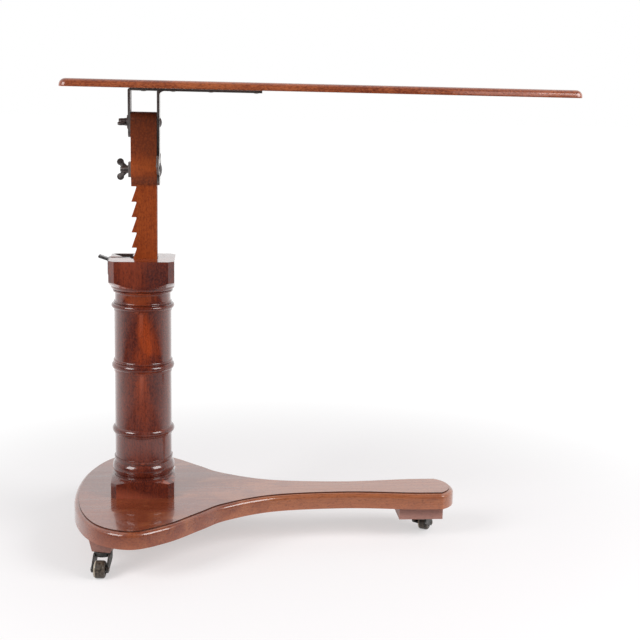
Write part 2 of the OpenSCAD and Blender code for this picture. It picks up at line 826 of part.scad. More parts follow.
module column() {
    color([0.38, 0.13, 0.08]) at_column() difference() {
        column_blank();
        column_hollow();
        translate([pivot_x, 0, pivot_z]) rotate([90, 0, 0])
            cylinder(h = pin_l + 2 * screw_gap, r = pivot_d / 2 + screw_gap, center = true);
        for (a = [45:90:315]) rotate(a) translate([column_screw_at * sqrt(2), 0, board_top - over])
            cylinder(h = column_screw_l + over + screw_gap, r = screw_d / 2 + screw_gap);
        for (y = keeper_screw_places)
            translate([collar_left - over, y, keeper_screw_z]) rotate([0, 90, 0])
                cylinder(h = keeper_screw_l + over + screw_gap, r = small_screw_d / 2 + screw_gap);
    }
}

// Latch

pin_in_wood = 7;
pin_l = 2 * (pocket_half + pin_in_wood);
keeper_screw_l = 12;
keeper_screw_z = collar_top - keeper_top - keeper_h / 2;
keeper_screw_places = [-keeper_w / 2 + 4.5, keeper_w / 2 - 4.5];

module nose_face() {
    lean = pivot_gap - nose_gap - 1;
    intersection() {
        translate([pivot_x, pivot_z]) circle(r = nose_r, $fn = 180);
        polygon([
            [pivot_x - boss_r, pivot_z],
            [pivot_x + 0.5, held_z + over],
            [nose_tip_x(held_z + over), held_z + over],
            [nose_tip_x(pivot_z + 5.5), pivot_z + 5.5],
            [pivot_x + lean, pivot_z]
        ]);
    }
}

// The nose's right side keeps to the flank of the tooth below it
function nose_tip_x(z) =
    tooth_root - 1 - tooth_depth * (held_z - tooth_lead - z) / (tooth_pitch - tooth_lead);

module latch_lever() {
    color([0.3, 0.3, 0.3]) at_column() difference() {
        along_y(lever_w) {
            difference() {
                union() {
                    translate([pivot_x, pivot_z]) circle(r = boss_r);
                    nose_face();
                    // Stem from the boss up to the arm
                    polygon([[pivot_x - boss_r + 0.5, pivot_z], [pivot_x + 0.5, pivot_z],
                        [stem_top.x + lever_t, stem_top.y + lever_t / 2],
                        [stem_top.x - lever_t, stem_top.y + lever_t / 2],
                        [stem_top.x - lever_t, stem_top.y - lever_t / 2 - 3]]);
                    limb(stem_top, arm_out, lever_t);
                    limb(arm_out, tab_tip, lever_t);
                    // Heel over the spring
                    polygon([[spring_x - spring_pad_half, spring_top + side_gap],
                        [pivot_x - 2, spring_top + side_gap],
                        [pivot_x - 2, spring_top + 14],
                        [spring_x - spring_pad_half, spring_top + 5]]);
                }
                // Grooves across the thumb tab
                for (k = [1:rib_count])
                    translate(arm_out + (tab_tip - arm_out) * (k + 0.5) / (rib_count + 1))
                        rotate(atan2(tab_tip.y - arm_out.y, tab_tip.x - arm_out.x))
                        translate([-0.6, -lever_t / 2 - over]) square([1.2, over + 0.7]);
            }
        }
        translate([pivot_x, 0, pivot_z]) rotate([90, 0, 0])
            cylinder(h = lever_w + 2 * over, r = pivot_d / 2 + pin_gap, center = true);
    }
}

module latch_pin() {
    color([0.5, 0.5, 0.5]) at_column() translate([pivot_x, 0, pivot_z]) rotate([90, 0, 0])
        cylinder(h = pin_l, r = pivot_d / 2, center = true);
}

module latch_spring() {
    wire = 1;
    color([0.55, 0.55, 0.55]) at_column() translate([spring_x, 0, pocket_floor]) difference() {
        cylinder(h = spring_top - pocket_floor, d = spring_d);
        translate([0, 0, -over])
            cylinder(h = spring_top - pocket_floor + 2 * over, d = spring_d - 2 * wire);
    }
}

module lever_keeper() {
    color([0.28, 0.27, 0.27]) at_column() difference() {
        translate([collar_left - keeper_t, -keeper_w / 2, collar_top - keeper_top - keeper_h])
            cube([keeper_t, keeper_w, keeper_h]);
        translate([collar_left - keeper_t - over, -pocket_half, slot_floor])
            cube([keeper_t + 2 * over, 2 * pocket_half, keeper_h]);
        for (y = keeper_screw_places)
            translate([collar_left - keeper_t, y, keeper_screw_z]) rotate([0, 90, 0])
                sunk_screw(small_screw_d, keeper_t + over, screw_gap);
    }
}

module keeper_screws() {
    color([0.45, 0.44, 0.43]) at_column() for (y = keeper_screw_places)
        translate([collar_left - keeper_t, y, keeper_screw_z]) rotate([0, 90, 0])
            sunk_screw(small_screw_d, keeper_screw_l + keeper_t);
}

// Base board

module board_body() {
    n = len(board_outline);
    rows = len(board_rings);
    points = [for (ring = board_rings) let (line = inset_outline(board_outline, ring[0]))
        for (p = line) [p.x, p.y, ring[1]]];
    sides = [for (r = [0:rows - 2], i = [0:n - 1]) each [
        [r * n + i, (r + 1) * n + (i + 1) % n, r * n + (i + 1) % n],
        [r * n + i, (r + 1) * n + i, (r + 1) * n + (i + 1) % n]
    ]];
    // The two flat faces are laid in strips across the board, from its right end to its left end
    half = n / 2;
    strips = [for (i = [0:half - 1]) i == 0 ? [0, 1, n - 1] :
        i == half - 1 ? [half - 1, half, half + 1] : [i, i + 1, n - i - 1, n - i]];
    top_row = (rows - 1) * n;
    top_strips = [for (strip = strips) [for (k = [len(strip) - 1:-1:0]) top_row + strip[k]]];
    polyhedron(points = points, faces = concat(strips, sides, top_strips));
}

module base_board() {
    color([0.5, 0.22, 0.14]) at_column() difference() {
        board_body();
        for (a = [45:90:315]) rotate(a) translate([column_screw_at * sqrt(2), 0, board_z])
            sunk_screw(screw_d, board_t + over, screw_gap);
        for (c = [0:2], s = block_screw_places(c))
            translate([castor_places[c].x + s.x, castor_places[c].y + s.y, board_z - over])
                cylinder(h = over + block_screw_in + screw_gap, r = screw_d / 2 + screw_gap);
    }
}

block_screw_in = 18;

// A block points away from the column
function block_heading(c) = [-left_block_heading, left_block_heading, 0][c];

// Places of a block's two screws from its swivel
function block_screw_places(c) =
    [for (d = c == 2 ? end_block_screws : left_block_screws)
        d * [cos(block_heading(c)), sin(block_heading(c))]];

module column_screws() {
    color([0.45, 0.43, 0.4]) at_column()
        for (a = [45:90:315]) rotate(a) translate([column_screw_at * sqrt(2), 0, board_z])
            sunk_screw(screw_d, board_t + column_screw_l);
}

// Castors

// A left block points away from the column and widens towards the board
module left_block(c) {
    rotate(block_heading(c))
        along_x(-block_back, block_back + block_front)
            polygon([[-block_low_half, castor_h], [block_low_half, castor_h],
                [block_high_half, board_z], [-block_high_half, board_z]]);
}

module castor_block(c) {
    place = castor_places[c];
    color([0.45, 0.2, 0.13]) at_column() difference() {
        translate([place.x, place.y, 0])
            if (c == 2)
                translate([-end_block_back, -end_block_half, castor_h])
                    cube([end_block_back + end_block_front, 2 * end_block_half, block_t]);
            else
                left_block(c);
        for (s = block_screw_places(c))
            translate([place.x + s.x, place.y + s.y, castor_h])
                sunk_screw(screw_d, block_t + over, screw_gap);
        for (a = [60, 180, 300])
            translate([place.x, place.y, castor_h - over]) rotate(a) translate([plate_screw_ring, 0, 0])
                cylinder(h = plate_screw_l + over, r = small_screw_d / 2 + screw_gap);
        translate([place.x, place.y, castor_h - over])
            cylinder(h = over + pin_tail + screw_gap, r = swivel_d / 2 + 1);
    }
}

module block_screws() {
    color([0.45, 0.43, 0.4]) at_column() for (c = [0:2], s = block_screw_places(c))
        translate([castor_places[c].x + s.x, castor_places[c].y + s.y, castor_h])
            sunk_screw(screw_d, block_t + block_screw_in);
}

plate_screw_l = 14;
pin_tail = 2;

// Puts what is drawn about a swivel at the origin, trailing along +X, to a castor's place
module at_castor(c) {
    place = castor_places[c];
    at_column() translate([place.x, place.y, 0]) rotate(place[2]) children();
}

module castor_plate(c) {
    color([0.3, 0.3, 0.29]) at_column() translate([castor_places[c].x, castor_places[c].y, 0])
        difference() {
            translate([0, 0, castor_h - castor_plate_t]) cylinder(h = castor_plate_t, d = castor_plate_d);
            translate([0, 0, castor_h - castor_plate_t - over])
                cylinder(h = castor_plate_t + 2 * over, r = swivel_d / 2 + screw_gap);
            for (a = [60, 180, 300]) rotate(a)
                translate([plate_screw_ring, 0, castor_h - castor_plate_t])
                    sunk_screw(small_screw_d, castor_plate_t + over, screw_gap);
        }
}

module plate_screws() {
    color([0.45, 0.44, 0.42]) at_column() for (c = [0:2], a = [60, 180, 300])
        translate([castor_places[c].x, castor_places[c].y, castor_h - castor_plate_t]) rotate(a)
            translate([plate_screw_ring, 0, 0]) sunk_screw(small_screw_d, plate_screw_l);
}

module castor_pin(c) {
    color([0.4, 0.39, 0.38]) at_castor(c) {
        translate([0, 0, crown_low - side_gap - pin_head_t])
            cylinder(h = pin_head_t, r = swivel_d / 2 + pin_head_over);
        translate([0, 0, crown_low - side_gap - 0.5])
            cylinder(h = castor_h + pin_tail - crown_low + side_gap + 0.5, r = swivel_d / 2);
    }
}

module horn_leg_face() {
    r = axle_boss_r;
    axle = [castor_trail, wheel_d / 2];
    polygon([[-8, crown_top], [12, crown_top],
        axle + r * [cos(20), sin(20)], axle, axle + r * [cos(245), sin(245)],
        [-4, axle.y + 6], [-8, axle.y + 10]]);
    translate(axle) circle(r = r);
}

module castor_horn(c) {
    color([0.24, 0.25, 0.24]) at_castor(c) difference() {
        union() {
            translate([0, 0, crown_low]) cylinder(h = crown_t, d = crown_d);
            for (side = [-1, 1])
                translate([0, side * (leg_in + horn_t / 2), 0]) along_y(horn_t) horn_leg_face();
        }
        translate([0, 0, crown_low - over])
            cylinder(h = crown_t + 2 * over, r = swivel_d / 2 + pin_gap);
        translate([castor_trail, 0, wheel_d / 2]) rotate([90, 0, 0])
            cylinder(h = 2 * leg_out + 2 * over, r = axle_d / 2 + screw_gap, center = true);
    }
}

module castor_axle(c) {
    axle_head = 1.2;
    color([0.6, 0.58, 0.54]) at_castor(c) translate([castor_trail, 0, wheel_d / 2]) rotate([90, 0, 0]) {
        cylinder(h = 2 * leg_out, d = axle_d, center = true);
        for (side = [0, 1]) mirror([0, 0, side])
            translate([0, 0, leg_out]) cylinder(h = axle_head, d = axle_d + 2.4);
    }
}

module wheel_section() {
    half = wheel_w / 2;
    bore = axle_d / 2 + pin_gap;
    r = wheel_d / 2;
    difference() {
        union() {
            translate([0, -half]) square([r - wheel_edge_r, wheel_w]);
            translate([0, -half + wheel_edge_r]) square([r, wheel_w - 2 * wheel_edge_r]);
            for (side = [-1, 1])
                translate([r - wheel_edge_r, side * (half - wheel_edge_r)]) circle(r = wheel_edge_r);
        }
        translate([-over, -half - over]) square([bore + over, wheel_w + 2 * over]);
        // Shallow dish in both faces round the hub
        for (side = [-1, 1]) translate([6, side * half]) circle(r = 1.6);
    }
}

module castor_wheel(c) {
    color([0.3, 0.2, 0.15]) at_castor(c) translate([castor_trail, 0, wheel_d / 2])
        rotate([90, 0, 0]) rotate_extrude($fn = 64) wheel_section();
}

table_top();
clevis_bracket();
bracket_screws();
tilt_bolt();
tilt_washer();
tilt_wing_nut();
clamp_bolt();
clamp_washer_plate();
clamp_wing_nut();
ratchet_post();
post_guide();
guide_screws();
column();
latch_lever();
latch_pin();
latch_spring();
lever_keeper();
keeper_screws();
base_board();
column_screws();
castor_block(0);  // castor_block_near
castor_block(1);  // castor_block_far
castor_block(2);  // castor_block_end
block_screws();
castor_plate(0);  // castor_plate_near
castor_plate(1);  // castor_plate_far
castor_plate(2);  // castor_plate_end
plate_screws();
castor_pin(0);  // castor_pin_near
castor_pin(1);  // castor_pin_far
castor_pin(2);  // castor_pin_end
castor_horn(0);  // castor_horn_near
castor_horn(1);  // castor_horn_far
castor_horn(2);  // castor_horn_end
castor_axle(0);  // castor_axle_near
castor_axle(1);  // castor_axle_far
castor_axle(2);  // castor_axle_end
castor_wheel(0);  // castor_wheel_near
castor_wheel(1);  // castor_wheel_far
castor_wheel(2);  // castor_wheel_end
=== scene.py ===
import math

import bmesh
import bpy
from mathutils import Matrix, Vector


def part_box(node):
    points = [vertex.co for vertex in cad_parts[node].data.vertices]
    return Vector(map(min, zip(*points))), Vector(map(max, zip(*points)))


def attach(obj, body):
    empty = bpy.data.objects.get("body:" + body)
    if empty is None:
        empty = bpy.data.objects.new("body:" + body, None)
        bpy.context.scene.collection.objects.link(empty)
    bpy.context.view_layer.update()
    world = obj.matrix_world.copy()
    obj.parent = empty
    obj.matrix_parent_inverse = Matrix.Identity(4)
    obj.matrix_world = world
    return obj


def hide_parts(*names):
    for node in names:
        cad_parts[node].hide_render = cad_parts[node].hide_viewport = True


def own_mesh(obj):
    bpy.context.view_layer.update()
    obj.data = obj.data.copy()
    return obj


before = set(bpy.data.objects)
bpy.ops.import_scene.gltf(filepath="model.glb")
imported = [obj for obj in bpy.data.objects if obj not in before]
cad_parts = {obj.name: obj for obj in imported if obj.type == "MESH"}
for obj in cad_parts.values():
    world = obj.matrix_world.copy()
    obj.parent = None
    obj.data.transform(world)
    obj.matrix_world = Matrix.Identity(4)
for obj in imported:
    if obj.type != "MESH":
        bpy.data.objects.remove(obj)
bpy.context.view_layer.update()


# Base board.
# One wide mahogany board, sawn to a paddle outline, with a quarter-round moulded upper edge and
# a narrow step above it. It is French-polished and dark, and its grain runs along X.
guide_low, guide_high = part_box("post_guide")
column_x = (guide_low.x + guide_high.x) / 2
board_low, board_high = (corner.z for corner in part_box("base_board"))
board_marks = [
    (-0.115, 0.0), (-0.1035, 0.1019), (-0.0684, 0.1772), (-0.0110, 0.208), (0.0468, 0.1791),
    (0.1001, 0.1250), (0.1399, 0.0855), (0.2222, 0.0459), (0.3459, 0.034), (0.4584, 0.043),
    (0.513, 0.044),
]
end_bulge = 0.025
mould_r, mould_steps = 0.007, 8
quirk, quirk_ledge, quirk_lean = 0.002, 0.0004, 0.0001
curve_steps, end_steps = 14, 16
much_larger, same_way = 4, 0.99999


def spline(a, b, c, d, t):
    """A point of the smooth curve through b and c."""
    return [
        0.5 * (2 * q + (r - p) * t + (2 * p - 5 * q + 4 * r - s) * t * t
               + (3 * q - p - 3 * r + s) * t * t * t)
        for p, q, r, s in zip(a, b, c, d)
    ]


def board_side():
    """The far half of the board's outline, from the left end to the right end."""
    marks = [(board_marks[1][0], -board_marks[1][1])] + board_marks
    last, before = Vector(marks[-1]), Vector(marks[-2])
    marks.append(tuple(2 * last - before))
    side = []
    for i in range(1, len(marks) - 2):
        side += [spline(*marks[i - 1:i + 3], k / curve_steps) for k in range(curve_steps)]
    half = board_marks[-1][1]
    arc_r = (half * half + end_bulge * end_bulge) / (2 * end_bulge)
    reach = math.asin(half / arc_r)
    middle = board_marks[-1][0] + end_bulge - arc_r
    turns = [reach * (1 - k / end_steps) for k in range(end_steps + 1)]
    side += [[middle + arc_r * math.cos(turn), arc_r * math.sin(turn)] for turn in turns]
    return side


def finish_piece(form, name, body, material, stands_for, smooth=35):
    """Makes a piece from a bmesh, and says what it rides on and stands for.

    A face much larger than the ones that turn away from it is a flat one, and is shaded flat.
    """
    mesh = bpy.data.meshes.new(name)
    form.normal_update()
    form.faces.index_update()
    sizes = [face.calc_area() for face in form.faces]
    flats = [
        face.index for face in form.faces
        if all(
            sizes[face.index] > much_larger * sizes[other.index]
            for edge in face.edges for other in edge.link_faces
            if face.normal.dot(other.normal) < same_way
        )
    ]
    form.to_mesh(mesh)
    form.free()
    piece = bpy.data.objects.new(name, mesh)
    bpy.context.scene.collection.objects.link(piece)
    mesh.shade_smooth()
    mesh.set_sharp_from_angle(angle=math.radians(smooth))
    for index in flats:
        mesh.polygons[index].use_smooth = False
    mesh.materials.append(material)
    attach(piece, body)
    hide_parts(*stands_for)
    return piece


def feed(tree, socket, value):
    """Links a socket to another one, or gives it a number or a colour."""
    if isinstance(value, bpy.types.NodeSocket):
        tree.links.new(value, socket)
    elif isinstance(value, (int, float)):
        socket.default_value = value
    else:
        socket.default_value = (*value, 1)


def ramp(tree, value, low, high, low_value=0.0, high_value=1.0):
    """A value brought from one range to another, and held at its ends."""
    node = tree.nodes.new("ShaderNodeMapRange")
    node.inputs["From Min"].default_value = low
    node.inputs["From Max"].default_value = high
    node.inputs["To Min"].default_value = low_value
    node.inputs["To Max"].default_value = high_value
    tree.links.new(value, node.inputs["Value"])
    return node.outputs["Result"]


def blend(tree, amount, first, second):
    """The second colour laid over the first by that amount."""
    node = tree.nodes.new("ShaderNodeMix")
    node.data_type = "RGBA"
    feed(tree, node.inputs[0], amount)
    feed(tree, node.inputs[6], first)
    feed(tree, node.inputs[7], second)
    return node.outputs[2]


def noise(tree, vector, scale, detail, distortion=0.0):
    """Cloudy noise at that place."""
    node = tree.nodes.new("ShaderNodeTexNoise")
    node.inputs["Scale"].default_value = scale
    node.inputs["Detail"].default_value = detail
    node.inputs["Distortion"].default_value = distortion
    tree.links.new(vector, node.inputs["Vector"])
    return node.outputs["Fac"]


def relief(tree, height, strength, distance):
    """A fine relief over the whole surface."""
    node = tree.nodes.new("ShaderNodeBump")
    node.inputs["Strength"].default_value = strength
    node.inputs["Distance"].default_value = distance
    tree.links.new(height, node.inputs["Height"])
    tree.links.new(node.outputs["Normal"], tree.nodes["Principled BSDF"].inputs["Normal"])


def mahogany(
    name, grain, dark, middle, light, streak=0.6, figure=0.4, polish=1.0, gloss=0.5, rough=0.3,
    patches=(),
):
    """Mahogany: ribbon stripes, flame figure and fine pores under a coat of polish, its edges
    lighter for wear and a painted highlight, and its hollows darker.

    Each patch is a ragged spot of another tone, some wood figure and some painted light and shade:
    its x, z, half width, half height, tone, strength.
    """
    wood = bpy.data.materials.new(name)
    wood.use_nodes = True
    tree = wood.node_tree
    shader = tree.nodes["Principled BSDF"]
    shader.inputs["Coat Weight"].default_value = polish
    shader.inputs["Coat Roughness"].default_value = 0.06
    shader.inputs["Coat IOR"].default_value = 1.55
    shader.inputs["Specular IOR Level"].default_value = gloss
    place = tree.nodes.new("ShaderNodeTexCoord")

    def grain_noise(across, along, detail, distortion):
        """Noise drawn out along the grain."""
        stretch = tree.nodes.new("ShaderNodeMapping")
        stretch.inputs["Scale"].default_value = [along if a == grain else across for a in "XYZ"]
        tree.links.new(place.outputs["Object"], stretch.inputs["Vector"])
        return noise(tree, stretch.outputs["Vector"], 1, detail, distortion)

    def reckon(way, first, second):
        """A sum, difference, product, quotient or root of values."""
        node = tree.nodes.new("ShaderNodeMath")
        node.operation = way
        feed(tree, node.inputs[0], first)
        feed(tree, node.inputs[1], second)
        return node.outputs["Value"]

    stripes = grain_noise(95, 5, 3, 0.8)
    fine = grain_noise(520, 16, 4, 0.3)
    pores = grain_noise(1500, 90, 2, 0.0)
    flame = grain_noise(24, 13, 4, 1.2)
    mottle = grain_noise(420, 260, 2, 0.4)
    colour = blend(tree, ramp(tree, stripes, 0.36, 0.66, 1 - streak, 1), dark, middle)
    colour = blend(tree, ramp(tree, flame, 0.48, 0.68, 0, figure), colour, light)
    spot = tree.nodes.new("ShaderNodeSeparateXYZ")
    tree.links.new(place.outputs["Object"], spot.inputs["Vector"])
    raggedness = ramp(tree, flame, 0.3, 0.7, 0.4, -0.4)
    for x, z, half_x, half_z, tone, strength in patches:
        across = reckon("DIVIDE", reckon("SUBTRACT", spot.outputs["X"], x), half_x)
        along = reckon("DIVIDE", reckon("SUBTRACT", spot.outputs["Z"], z), half_z)
        off = reckon("ADD", reckon("MULTIPLY", across, across), reckon("MULTIPLY", along, along))
        ragged = reckon("ADD", reckon("SQRT", off, 0), raggedness)
        colour = blend(tree, ramp(tree, ragged, 1.2, 0.5, 0, strength), colour, tone)
    dirt, soot, darker_in_hollows = ([c * share for c in dark] for share in (0.6, 0.4, 0.3))
    wear_and_highlight = [min(0.9, 1.5 * c + 0.04) for c in light]
    colour = blend(tree, ramp(tree, mottle, 0.45, 0.62, 0, 0.35), colour, light)
    colour = blend(tree, ramp(tree, mottle, 0.47, 0.34, 0, 0.45), colour, dirt)
    colour = blend(tree, ramp(tree, fine, 0.35, 0.62, 0.3, 0), colour, dark)
    colour = blend(tree, ramp(tree, pores, 0.58, 0.68, 0, 0.45), colour, soot)
    # Convex edges drawn lighter, partly wear and partly a painted highlight; hollows drawn darker
    edges = tree.nodes.new("ShaderNodeNewGeometry").outputs["Pointiness"]
    colour = blend(tree, ramp(tree, edges, 0.53, 0.6, 0, 0.55), colour, wear_and_highlight)
    colour = blend(tree, ramp(tree, edges, 0.48, 0.43, 0, 0.7), colour, darker_in_hollows)
    feed(tree, shader.inputs["Base Color"], colour)
    dullness = ramp(tree, stripes, 0.3, 0.7, rough - 0.05, rough + 0.1)
    feed(tree, shader.inputs["Roughness"], dullness)
    relief(tree, blend(tree, 0.5, fine, pores), 0.12, 0.0004)
    return wood


base_wood = mahogany(
    "base_mahogany", "X", (0.15, 0.025, 0.01), (0.235, 0.05, 0.018), (0.37, 0.1, 0.036),
    streak=0.5, figure=0.4,
    patches=[(column_x + 0.4, 0.08, 0.3, 0.5, (0.58, 0.21, 0.08), 0.55)],
)
# Painted shade: a near-black, dull mahogany for the narrow step's faces, standing for the shade in
# the quirk
painted_step_shade = mahogany(
    "step_painted_shade", "X", (0.045, 0.012, 0.006), (0.09, 0.022, 0.011), (0.16, 0.042, 0.02),
    polish=0.2, gloss=0.3, rough=0.5,
)


def upper_face(form):
    """The highest of a form's faces with more than four corners."""
    wide = [face for face in form.faces if len(face.verts) > 4]
    return max(wide, key=lambda face: face.calc_center_median().z)


half_line = board_side()
outline = half_line[::-1] + [(x, -y) for x, y in half_line[1:-1]]
board = bmesh.new()
low_ring = [board.verts.new((column_x + x, y, board_low)) for x, y in outline]
under = board.faces.new(low_ring[::-1])
raised = bmesh.ops.extrude_face_region(board, geom=[under])
lifted = [g for g in raised["geom"] if isinstance(g, bmesh.types.BMVert)]
bmesh.ops.translate(board, vec=(0, 0, board_high - quirk - board_low), verts=lifted)
bmesh.ops.recalc_face_normals(board, faces=board.faces)
bmesh.ops.bevel(
    board, geom=list(upper_face(board).edges), offset=mould_r, segments=mould_steps, profile=0.5,
    affect="EDGES", material=-1,
)
upper = upper_face(board)
bmesh.ops.inset_region(board, faces=[upper], thickness=quirk_ledge, depth=0.0)
bmesh.ops.inset_region(board, faces=[upper], thickness=quirk_lean, depth=quirk)
bmesh.ops.recalc_face_normals(board, faces=board.faces)
board.normal_update()
# The step's upright faces take the painted quirk shade
for face in board.faces:
    if abs(face.normal.z) < 0.5 and face.calc_center_median().z > board_high - quirk:
        face.material_index = 1
base_board = finish_piece(
    board, "paddle_base_board", "base", base_wood, ["base_board"], 28,
)
base_board.data.materials.append(painted_step_shade)


# Castor blocks.
# Three mahogany blocks glued and screwed under the board. The left two widen towards the board.
# Their edges are worn round, and dull where polish never reached.
merge_within, flat_within = 0.00002, math.radians(0.6)


def eased_copy(node, name, body, material, ease, steps=2, smooth=35):
    """A copy of a CAD piece, merged, with its sharp edges eased by that width."""
    form = bmesh.new()
    form.from_mesh(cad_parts[node].data)
    bmesh.ops.remove_doubles(form, verts=form.verts, dist=merge_within)
    bmesh.ops.dissolve_limit(form, angle_limit=flat_within, verts=form.verts, edges=form.edges)
    sharp = [
        edge for edge in form.edges
        if len(edge.link_faces) == 2 and edge.calc_face_angle(0) > math.radians(smooth)
    ]
    bmesh.ops.bevel(
        form, geom=sharp, offset=ease, segments=steps, profile=0.5, affect="EDGES",
        clamp_overlap=True, material=-1,
    )
    return finish_piece(form, name, body, material, [node], smooth)


block_wood = mahogany(
    "block_mahogany", "X", (0.18, 0.072, 0.056), (0.3, 0.135, 0.108), (0.37, 0.18, 0.143),
    polish=0.1, rough=0.5,
)
for side in ("near", "far", "end"):
    eased_copy(
        f"castor_block_{side}", f"castor_block_{side}_wood", "base", block_wood, 0.001,
    )


# Castors.
# Each has a round plate on the block, a swivel pin, a forged horn with two legs, a riveted axle
# and a dark composition wheel with a pale line painted round one shoulder, a painted highlight.


def worn_iron(name, dark, pale, rust, rough, amount):
    """Blackened iron: mottled, rubbed bright on its edges, with a little brown rust."""
    iron = bpy.data.materials.new(name)
    iron.use_nodes = True
    tree = iron.node_tree
    shader = tree.nodes["Principled BSDF"]
    shader.inputs["Metallic"].default_value = 0.75
    place = tree.nodes.new("ShaderNodeTexCoord").outputs["Object"]
    blotches, rusting = noise(tree, place, 160, 4), noise(tree, place, 70, 5)
    colour = blend(tree, ramp(tree, blotches, 0.35, 0.65), dark, [c * 1.7 for c in dark])
    colour = blend(tree, ramp(tree, rusting, 0.56, 0.7, 0, amount), colour, rust)
    edges = tree.nodes.new("ShaderNodeNewGeometry").outputs["Pointiness"]
    colour = blend(tree, ramp(tree, edges, 0.52, 0.58, 0, 0.7), colour, pale)
    feed(tree, shader.inputs["Base Color"], colour)
    dullness = ramp(tree, noise(tree, place, 240, 4), 0.3, 0.7, rough - 0.12, rough + 0.14)
    feed(tree, shader.inputs["Roughness"], dullness)
    relief(tree, noise(tree, place, 500, 4), 0.25, 0.0004)
    return iron


castor_iron = worn_iron(
    "castor_iron", (0.032, 0.033, 0.031), (0.24, 0.23, 0.22), (0.08, 0.04, 0.02), 0.38, 0.5,
)
screw_iron = worn_iron(
    "screw_iron", (0.12, 0.11, 0.1), (0.45, 0.43, 0.4), (0.12, 0.06, 0.03), 0.4, 0.5,
)


def moulded_stuff(name, dark, pale):
    """Hard moulded wheel stuff, scuffed and a little glossy."""
    stuff = bpy.data.materials.new(name)
    stuff.use_nodes = True
    tree = stuff.node_tree
    shader = tree.nodes["Principled BSDF"]
    scuffs = noise(tree, tree.nodes.new("ShaderNodeTexCoord").outputs["Object"], 260, 5)
    tones = blend(tree, ramp(tree, scuffs, 0.36, 0.66), dark, pale)
    feed(tree, shader.inputs["Base Color"], tones)
    feed(tree, shader.inputs["Roughness"], ramp(tree, scuffs, 0, 1, 0.22, 0.42))
    relief(tree, scuffs, 0.2, 0.0003)
    return stuff


composition = moulded_stuff("wheel_composition", (0.03, 0.024, 0.018), (0.14, 0.11, 0.082))
# Painted highlight: a pale band on the shoulder of each wheel on the side seen at the left,
# standing for the gleam of light on that rounded edge
painted_wheel_highlight = moulded_stuff("wheel_painted_highlight", (0.36, 0.3, 0.22), (0.62, 0.56, 0.46))

wheel_r, wheel_half, wheel_bore = 0.014, 0.009, 0.00206
shoulder_r, dish_at, dish_r = 0.004, 0.006, 0.0016
shoulder_steps, dish_steps, turning_steps = 12, 8, 72
castor_trail, axle_z = 0.024, 0.014
line_from, line_to = 0.0056, 0.0082
headings = {"near": -98, "far": 112, "end": 62}
highlight_side = {"near": -1, "far": 1, "end": 1}


def wheel_side():
    """Half of the wheel's section, from its hub out to its tread, as radius and depth."""
    dish = [
        (dish_at - dish_r * math.cos(t), wheel_half - dish_r * math.sin(t))
        for t in (math.pi * k / dish_steps for k in range(dish_steps + 1))
    ]
    shoulder = [
        (wheel_r - shoulder_r + shoulder_r * math.sin(t),
         wheel_half - shoulder_r + shoulder_r * math.cos(t))
        for t in (math.pi / 2 * k / shoulder_steps for k in range(shoulder_steps + 1))
    ]
    return [(wheel_bore, wheel_half)] + dish + shoulder


for side, heading in headings.items():
    low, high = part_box(f"castor_plate_{side}")
    swivel = Vector(((low[0] + high[0]) / 2, (low[1] + high[1]) / 2, axle_z))
    half = wheel_side()
    wheel = bmesh.new()
    points = [wheel.verts.new((r, depth, 0)) for r, depth in half]
    points += [wheel.verts.new((r, -depth, 0)) for r, depth in half[::-1]]
    rim = [wheel.edges.new((a, b)) for a, b in zip(points, points[1:] + points[:1])]
    bmesh.ops.spin(
        wheel, geom=points + rim, cent=(0, 0, 0), axis=(0, 1, 0), angle=math.tau,
        steps=turning_steps, use_merge=True,
    )
    bmesh.ops.recalc_face_normals(wheel, faces=wheel.faces)
    # Faces in that shoulder band take the painted highlight
    for face in wheel.faces:
        centre = face.calc_center_median()
        depth = centre.y * highlight_side[side]
        radius = math.hypot(centre.x, centre.z)
        if line_from < depth < line_to and radius > wheel_r - shoulder_r:
            face.material_index = 1
    turn = Matrix.Translation(swivel) @ Matrix.Rotation(math.radians(heading), 4, "Z")
    bmesh.ops.transform(
        wheel, matrix=turn @ Matrix.Translation((castor_trail, 0, 0)), verts=wheel.verts,
    )
    turned_wheel = finish_piece(
        wheel, f"castor_wheel_{side}_turned", f"wheel_{side}", composition,
        [f"castor_wheel_{side}"],
    )
    turned_wheel.data.materials.append(painted_wheel_highlight)
    eased_copy(
        f"castor_horn_{side}", f"castor_horn_{side}_forged", f"castor_{side}",
        castor_iron, 0.0005,
    )
    for part, body in (("plate", "base"), ("pin", "base"), ("axle", f"castor_{side}")):
        eased_copy(
            f"castor_{part}_{side}", f"castor_{part}_{side}_iron", body,
            screw_iron if part == "axle" else castor_iron, 0.0003,
        )


def dress(material, *nodes):
    """Gives CAD pieces that stay as they are their material."""
    for node in nodes:
        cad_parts[node].data.materials.clear()
        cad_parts[node].data.materials.append(material)


dress(screw_iron, "block_screws", "plate_screws", "column_screws")


